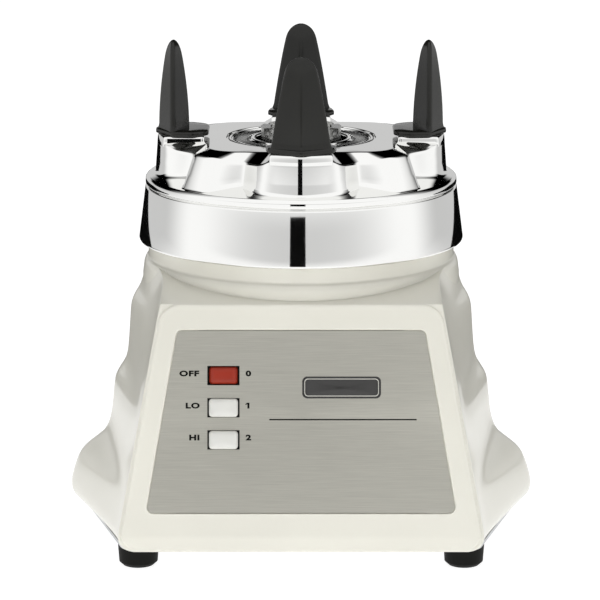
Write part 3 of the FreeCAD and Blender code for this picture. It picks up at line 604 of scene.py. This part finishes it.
def wall_profile(angle):
    """Section from the rim over the ledge, the wall and its shoulder to the flat top."""
    off = off_post(math.degrees(angle))
    weight = post_weight(angle)
    widest_foot, ledge_radius = 68.2, 69.9
    foot, top = min(clover_radius(angle), widest_foot), wall_top(angle)
    flat = weight * (top - 1.6) + (1 - weight) * min(flat_radius(angle), top - 1.6)
    valley = smooth_step(off, 14, 27) * (1 - smooth_step(off, 31, LOBE_START))
    shoulder = PLATFORM_Z - 0.3 - 0.15 * (top - flat) - 2.6 * valley
    ledge = LEDGE_Z + 0.16 * (ledge_radius - foot)
    rise = shoulder - ledge
    middle = [(foot + (top - foot) * share, ledge + rise * share) for share in (0.4, 0.8)]
    fillet = 0.8 + 3.5 * min(max((widest_foot - foot) / 10, 0), 1)
    points = [(70.6, LEDGE_Z - 0.6), (ledge_radius, LEDGE_Z), (foot, ledge), *middle, (top, shoulder),
              (flat, PLATFORM_Z), (RECESS_RADIUS, PLATFORM_Z)]
    return soften(points, [0.3, fillet, 0.5, 0.5, 1.0, 0.8], 6)


def post_top(z, inset):
    """Section of a post under its sleeve: the wall's own outline outside, straight on the other sides."""
    points = []
    for step in range(-24, 25):
        angle = math.radians(step * 12.6 / 24)
        top = wall_top(angle)
        foot = clover_radius(angle)
        share = (z - LEDGE_Z) / (PLATFORM_Z - 0.5 - LEDGE_Z)
        radius = foot + (top - foot) * share + 0.05 - inset
        points.append((radius * math.cos(angle), radius * math.sin(angle) * (1 - inset / 14), z))
    side = points[-1][1]
    edge = points[-1][0]
    across = [(edge + (44 - edge) * step / 12, side) for step in range(1, 12)]
    points += [(x, y, z) for x, y in across]
    points += [(44 + inset, y * side, z) for y in (1, 0.6, 0.2, -0.2, -0.6, -1)]
    points += [(x, -y, z) for x, y in reversed(across)]
    return points


def collar():
    """Band, groove, rim, ledge, wavy wall, shoulders, flat top and centre recess as one chrome surface."""
    count = 480
    angles = [TURN * k / count for k in range(count)]
    band = soften([
        (71.4, COLLAR_LOW_Z + 8), (71.6, COLLAR_LOW_Z + 0.6), (72.2, COLLAR_LOW_Z), (74.0, COLLAR_LOW_Z),
        (74.4, COLLAR_LOW_Z + 0.8), (71.25, 159.5), (70.2, 159.9), (70.2, 160.3), (71.25, 160.7),
        (71.15, 163), (70.7, LEDGE_Z - 0.7),
    ], 0.6)
    rows = [circle(radius, z, count) for radius, z in band]
    columns = [wall_profile(angle) for angle in angles]
    for level in range(len(columns[0])):
        rows.append([(column[level][0] * math.cos(a), column[level][0] * math.sin(a), column[level][1])
                     for a, column in zip(angles, columns)])
    centre = soften([
        (RECESS_RADIUS, PLATFORM_Z), (34.2, PLATFORM_Z), (33.9, PLATFORM_Z - 0.9), (33.1, PLATFORM_Z - 1),
        (32.8, PLATFORM_Z - 0.25), (31.9, PLATFORM_Z - 0.25), (31.5, RECESS_Z),
    ], 0.25)
    rows += [circle(radius, z, count) for radius, z in centre]
    for radius in (30.8, 30.2, 29, 27, 25, 24.4, 23.8):
        depth = smooth_step(radius, 30.8, 30.0) * smooth_step(radius, 23.8, 24.6)
        rows.append([
            (x, y, RECESS_Z + 0.75 * depth * abs(math.sin(RIBS / 2 * a)) ** 0.7)
            for (x, y, _), a in zip(circle(radius, 0, count), angles)
        ])
    hub = soften([
        (23.3, RECESS_Z), (22.8, PLATFORM_Z - 0.2), (21.4, PLATFORM_Z - 0.1), (20.9, PLATFORM_Z - 0.8),
        (20.9, PLATFORM_Z - 12),
    ], 0.3)
    rows += [circle(radius, z, count) for radius, z in hub]
    parts = MeshParts()
    parts.grid(rows)

    slab = [post_top(z, inset) for z, inset in (
        (178.6, 0.03), (180, 0), (182.2, 0), (182.7, 0.12), (182.95, 0.4), (183.05, 0.9),
    )]
    for quarter in range(4):
        spin = Matrix.Rotation(TURN / 4 * quarter, 3, "Z")
        placed = [[(spin @ Vector(p))[:] for p in row] for row in slab]
        parts.grid(placed)
        parts.cap(placed[-1])
    piece = add_piece("collar_casting", parts, CHROME)
    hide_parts("collar")


# Jar pads

def pad_section(z, grow):
    """A pad's rhombus section at height z, on the +X side, moved outwards by grow."""
    share = (z - 185) / 40.5
    pull = 4.4 * max(share, 0) ** 2
    half = 14.7 - 0.175 * (z - 186)
    tip = min(max((z - 217) / 8.5, 0), 1)
    cap = math.sqrt(max(1 - tip ** 3.4, 0.02))
    middle = 57.95
    outer = (65 + grow - pull - middle) * cap
    inner = (middle - 50.9 - pull) * cap
    half = (half + grow) * cap
    corner = 1.5 * cap
    return rounded_loop([
        (middle + outer, 0, corner), (middle + 0.2, half, corner * 0.8), (middle - inner, 0, corner),
        (middle + 0.2, -half, corner * 0.8),
    ], z, 6, 10)


def flange_loop(scale, z):
    """The outline of a pad's foot on the +X side, scaled about its middle."""
    middle = 54
    outline = [
        (66.3, -1.5, 5), (58.5, -14.6, 3.5), (50, -15.8, 4), (42, -11, 8), (42, 11, 8), (50, 15.8, 4),
        (58.5, 14.6, 3.5), (66.3, 1.5, 5),
    ]
    return [(middle + (x - middle) * scale, y * scale, z) for x, y, _ in rounded_loop(outline, 0, 5, 4)]


def jar_pads():
    """Four black sleeves, each a tapered blade with a rounded tip on a flat foot."""
    foot_z, tip_z = 184.5, 217
    heights = [foot_z + 0.9 * k for k in range(36)]
    heights += [tip_z + 8.45 * math.sin(math.pi / 2 * k / 12) for k in range(1, 13)]
    loops = [pad_section(z, 0.55 * (1 - smooth_step(z, foot_z, 187.5))) for z in heights]
    flange = [
        (0.9, 183.05), (0.99, 183.1), (1.0, 183.5), (1.0, 184.6), (0.985, 185.1), (0.95, 185.35),
        (0.6, 185.4),
    ]
    for quarter, side in enumerate(("right", "rear", "left", "front")):
        spin = Matrix.Rotation(TURN / 4 * quarter, 4, "Z")
        parts = MeshParts()
        parts.grid(loops)
        parts.cap(loops[-1])
        rows = [flange_loop(scale, z) for scale, z in flange]
        parts.grid(rows)
        parts.cap(rows[0])
        parts.cap(rows[-1])
        sleeve = add_piece(f"jar_sleeve_{side}", parts, VINYL, place=spin)
        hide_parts(f"jar_pad_{side}")


# Control panel

def button(name, body, material, low, high):
    """A push button with a pillowed face and rounded edges, between two heights above the panel."""
    centre_x, centre_y = BUTTON_X, BUTTON_Y[name]
    half_x, half_y = 6.35, 4.0

    def loop(inset, z):
        radius = max(1.5 - inset * 0.4, 0.4)
        x, y = half_x - inset, half_y - inset
        corners = [(-x, -y, radius), (x, -y, radius), (x, y, radius), (-x, y, radius)]
        return [(centre_x + px, centre_y + py, z) for px, py, _ in rounded_loop(corners, 0, 5, 6)]

    rows = [
        loop(0.4, low), loop(0, low + 0.3), loop(0, high - 2), loop(0.12, high - 1.3),
        loop(0.42, high - 0.75), loop(0.9, high - 0.36), loop(1.5, high - 0.14), loop(2.2, high - 0.04),
        loop(2.9, high),
    ]
    parts = MeshParts()
    parts.grid(rows)
    parts.cap(rows[0])
    parts.cap(rows[-1], (centre_x, centre_y, high + 0.02))
    piece = add_piece(f"{name}_key_cap", parts, material, body=body, place=PANEL)
    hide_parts(f"{name}_button")


def flat_badge(name, corners, material, low, high, hole=None):
    """A thin plate on the panel, or a thin outline if it has a hole."""
    outer = rounded_loop(corners, 0, 8, 4)
    parts = MeshParts()

    def level(points, z):
        return [(x, y, z) for x, y, _ in points]

    if hole:
        inner = rounded_loop(hole, 0, 8, 4)
        parts.grid([level(inner, low), level(inner, high), level(outer, high), level(outer, low)])
    else:
        parts.grid([level(outer, low), level(outer, high)])
        parts.cap(level(outer, high))
    add_piece(name, parts, material, place=PANEL)


def box_corners(x, y, half_x, half_y, radius):
    """Corners of a rectangle about (x, y), each with the same radius."""
    return [
        (x - half_x, y - half_y, radius), (x + half_x, y - half_y, radius),
        (x + half_x, y + half_y, radius), (x - half_x, y + half_y, radius),
    ]


def add_flag(mesh):
    """Gives the digit 1 a slanted flag at the top left of its stem."""
    left = min(v.co.x for v in mesh.vertices)
    top = max(v.co.y for v in mesh.vertices)
    outline = [(0.3, 0), (-0.05, 0), (-0.6, -0.55), (-0.6, -1.0), (0.3, -0.5)]
    build = bmesh.new()
    build.from_mesh(mesh)
    front = [build.verts.new((left + x, top + y, INK_HALF)) for x, y in outline]
    back = [build.verts.new((left + x, top + y, -INK_HALF)) for x, y in outline]
    build.faces.new(front)
    build.faces.new(back[::-1])
    for c in range(len(outline)):
        build.faces.new((front[c - 1], back[c - 1], back[c], front[c]))
    bmesh.ops.recalc_face_normals(build, faces=build.faces)
    build.to_mesh(mesh)
    build.free()


def label(name, text, x, y, align):
    """A printed word or digit on the control plate, as thin raised ink that ends or starts at x."""
    cap_height, width_scale = 2.3, 1.4
    words = bpy.data.curves.new(name + "_text", "FONT")
    words.body = text
    words.align_x = align
    words.align_y = "CENTER"
    words.size = cap_height / 0.71
    words.offset = 0.17
    words.space_character = 1.12
    words.extrude = INK_HALF
    words.resolution_u = 3
    holder = bpy.data.objects.new(name + "_text", words)
    bpy.context.scene.collection.objects.link(holder)
    mesh = bpy.data.meshes.new_from_object(holder.evaluated_get(bpy.context.evaluated_depsgraph_get()))
    bpy.data.objects.remove(holder)
    if text == "1":
        add_flag(mesh)
    spot = Matrix.Translation((x, y, 0.6 + INK_HALF)) @ Matrix.Diagonal((width_scale, 1, 1, 1))
    mesh.transform(Matrix.Scale(MM, 4) @ PANEL @ spot)
    mesh.name = name
    mesh.materials.clear()
    mesh.materials.append(INK)
    piece = bpy.data.objects.new(name, mesh)
    bpy.context.scene.collection.objects.link(piece)
    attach(piece, "base")


def control_panel():
    """Buttons, their labels, and a plain badge with a rule under it."""
    button("off", "off_key", RED_PLASTIC, -4.0, 0.2)
    button("low", "low_key", WHITE_PLASTIC, -0.8, 3.4)
    button("high", "high_key", WHITE_PLASTIC, -0.8, 3.4)
    for name, text, digit, right, y in (
        ("off", "OFF", "0", -44.7, 78.6), ("low", "LO", "1", -44.4, 64.5), ("high", "HI", "2", -44.4, 50.5),
    ):
        label(f"label_{name}", text, right, y, "RIGHT")
        label(f"label_digit_{digit}", digit, -24.2, y, "LEFT")
    middle_x, middle_y = 17.7, 72.6
    flat_badge("badge_plate", box_corners(middle_x, middle_y, 17.2, 4.8, 2.2), BADGE_FACE, 0.6, 0.78)
    flat_badge("badge_outline", box_corners(middle_x, middle_y, 16.3, 3.9, 1.6), BADGE_LINE, 0.77, 0.8,
               box_corners(middle_x, middle_y, 15.95, 3.55, 1.3))
    flat_badge("panel_rule", box_corners(18.3, 58.5, 32.3, 0.3, 0.28), INK, 0.6, 0.63)


# Brush springs

def brush_spring(label, side):
    """A wire coil laid along X from its holder's inner end to its outer end."""
    node = f"brush_spring_{label}"
    low, high = (Vector(corner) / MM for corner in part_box(node))
    wire, turns, travel = 0.25, 6, 4
    coil = (high.z - low.z) / 2 - wire
    height = (high.z + low.z) / 2
    inner, outer = (low.x, high.x) if side > 0 else (high.x, low.x)
    section = circle(wire, 0, 8)
    steps = 24 * turns
    rows = []
    for k in range(steps + 1):
        turn = TURN * turns * k / steps
        along = inner + side * wire + (outer - inner - 2 * side * wire) * k / steps
        rows.append([
            (along + across, (coil + out) * math.cos(turn), height + (coil + out) * math.sin(turn))
            for out, across, _ in section
        ])
    parts = MeshParts()
    parts.grid(rows)
    parts.cap(rows[0])
    parts.cap(rows[-1])
    piece = add_piece(f"{node}_coil", parts, SLOT_MATERIALS["spring_steel"])
    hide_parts(node)
    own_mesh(piece)


# Studio

def light_panel(name, start, end, low, high, radiance):
    """An upright soft panel between two plan points, facing the middle, with even brightness."""
    start, end = Vector(start), Vector(end)
    middle = (start + end) / 2
    height = (low + high) / 2
    add_light(name, (middle.x, middle.y, height), (0, 0, height), (end - start).length, high - low, radiance)


def add_light(name, place, aim, width, height, radiance):
    """A soft panel that lights the object but doesn't show in reflections."""
    lamp = bpy.data.lights.new(name, "AREA")
    lamp.shape = "RECTANGLE"
    lamp.size = width
    lamp.size_y = height
    lamp.energy = radiance * width * height * POWER_PER_AREA
    light = bpy.data.objects.new(name, lamp)
    light.location = place
    light.rotation_euler = (Vector(aim) - Vector(place)).to_track_quat("-Z", "Y").to_euler()
    light.visible_glossy = False
    light.visible_camera = False
    bpy.context.scene.collection.objects.link(light)


def studio_surface(name, points, faces, material):
    """An object of the studio, from points in metres."""
    mesh = bpy.data.meshes.new(name)
    mesh.from_pydata(points, [], faces)
    mesh.materials.append(material)
    surface = bpy.data.objects.new(name, mesh)
    bpy.context.scene.collection.objects.link(surface)
    return surface


def mirror_only(surface):
    """Lets a studio surface show in reflections and nowhere else."""
    surface.visible_camera = False
    surface.visible_diffuse = False
    surface.visible_shadow = False


def mirror_card(name, corners, material):
    """A flat card that only shows in reflections."""
    card = studio_surface(name, corners, [(0, 1, 2, 3)], material)
    mirror_only(card)


def tent_light():
    """White over the top and in front, dimmer low in the middle, grey low behind and black above that."""
    shader = Shader("studio_tent", (0, 0, 0), 1.0, Specular_IOR_Level=0.0, Emission_Color=(1, 1, 1, 1))
    axes = shader.add("ShaderNodeSeparateXYZ", Vector=shader.place())
    depth, height = axes.outputs["Y"], axes.outputs["Z"]
    ahead = shader.smooth(depth, -0.5, -2.4)
    level = shader.math("MULTIPLY", shader.smooth(height, 0.06, 0.14), shader.smooth(height, 0.8, 0.35))
    white = shader.math("MULTIPLY_ADD", shader.math("MULTIPLY", ahead, level), -0.4, 1.06)
    lowered = shader.math("MULTIPLY_ADD", height, -0.2, depth)
    behind = shader.smooth(lowered, -0.3, 0.9)
    open_top = shader.smooth(height, 1.95, 2.1)
    low = shader.smooth(height, 0.75, 0.6)
    covered = shader.math("MAXIMUM", shader.math("SUBTRACT", 1.0, behind), open_top)
    back = shader.math("MULTIPLY", shader.math("MULTIPLY", low, behind), 0.62)
    shader.link(shader.math("MULTIPLY_ADD", white, covered, back), "Emission Strength")
    return shader.material


def tent():
    """A dome with a ground disc, seen only in reflections."""
    radius, ground_z, columns, levels = 2.2, 0.0015, 48, 24
    turns = [math.pi / 2 * k / levels for k in range(levels)]
    rows = [circle(radius * math.cos(turn), radius * math.sin(turn), columns) for turn in turns]
    parts = MeshParts()
    parts.grid([circle(0.3, ground_z, columns), circle(radius, ground_z, columns)] + rows)
    parts.cap(rows[-1], (0, 0, radius))
    dome = studio_surface("studio_tent", parts.points, parts.faces, tent_light())
    mirror_only(dome)


def around_axis(azimuth, distance):
    """Plan point at an azimuth in degrees, counted from the camera's side, positive to the right."""
    return (distance * math.sin(math.radians(azimuth)), -distance * math.cos(math.radians(azimuth)))


def studio():
    """A pale floor, soft panels that light the paint and rubber, and the tent that polished parts reflect."""
    paper = Shader("studio_paper", (0.3, 0.3, 0.3), 0.9, Emission_Color=(1, 1, 1, 1), Emission_Strength=0.92)
    paper.tint(paper.noise(3, detail=2), 0.995, 1.0)
    corners = [(-6, -6, 0), (6, -6, 0), (6, 9, 0), (-6, 9, 0)]
    floor = studio_surface("studio_floor", corners, [(0, 1, 2, 3)], paper.material)

    world = bpy.data.worlds.new("studio")
    world.use_nodes = True
    world.node_tree.nodes["Background"].inputs["Color"].default_value = (1, 1, 1, 1)
    world.node_tree.nodes["Background"].inputs["Strength"].default_value = 0.15
    world.cycles_visibility.glossy = False
    bpy.context.scene.world = world
    bpy.context.scene.view_settings.view_transform = "Standard"

    roof_z, wall_distance = 2.3, 1.9
    for side, sign in (("left", -1), ("right", 1)):
        for index, (start, end, radiance) in enumerate(((0, 46, 0.05), (46, 90, 0.45), (90, 130, 0.3))):
            light_panel(f"{side}_{index}", around_axis(sign * start, wall_distance),
                        around_axis(sign * end, wall_distance), 0.0, roof_z, radiance)
    light_panel("back", around_axis(150, 3.0), around_axis(210, 3.0), 0.0, 0.75, 0.55)
    add_light("roof", (0, -0.1, roof_z), (0, -0.1, 0), 2.6, 2.2, 1.45)
    add_light("front_fill", (0, -0.5, 0.03), (0, -0.09, 0.03), 0.8, 0.06, 5.0)
    tent()

    # Two black cards that only show in reflections: one upright in front, one flat behind
    black = plastic("studio_black", (0.004, 0.004, 0.004), 0.9, 0, 300, 0.02, 0.0)
    left, right, y, top = -0.165, 0.066, -1.25, 0.36
    mirror_card("card_front", [(left, y, 0), (right, y, 0), (right, y, top), (left, y, top)], black)
    half, near, far, z = 0.85, 0.3, 2.19, 0.003
    mirror_card("card_behind", [(-half, near, z), (half, near, z), (half, far, z), (-half, far, z)], black)


def camera():
    """Looks down a little at the front, from the distance where the base fills the frame."""
    pitch = math.radians(12.58)
    distance = 1.379
    aim = Vector((-0.0005, 0, 0.1043))
    lens = bpy.data.cameras.new("camera")
    lens.sensor_width = 36
    lens.lens = 178.7
    eye = bpy.data.objects.new("camera", lens)
    eye.location = aim + Vector((0, -math.cos(pitch), math.sin(pitch))) * distance
    eye.rotation_euler = (math.pi / 2 - pitch, 0, 0)
    bpy.context.scene.collection.objects.link(eye)
    bpy.context.scene.camera = eye


dress_cad_nodes()
soft_edges("control_plate", 0.22)
soft_edges("drive_coupling", 0.35)
housing_shell()
housing_neck()
panel_frame()
collar()
jar_pads()
control_panel()
brush_spring("left", -1)
brush_spring("right", 1)
studio()
camera()
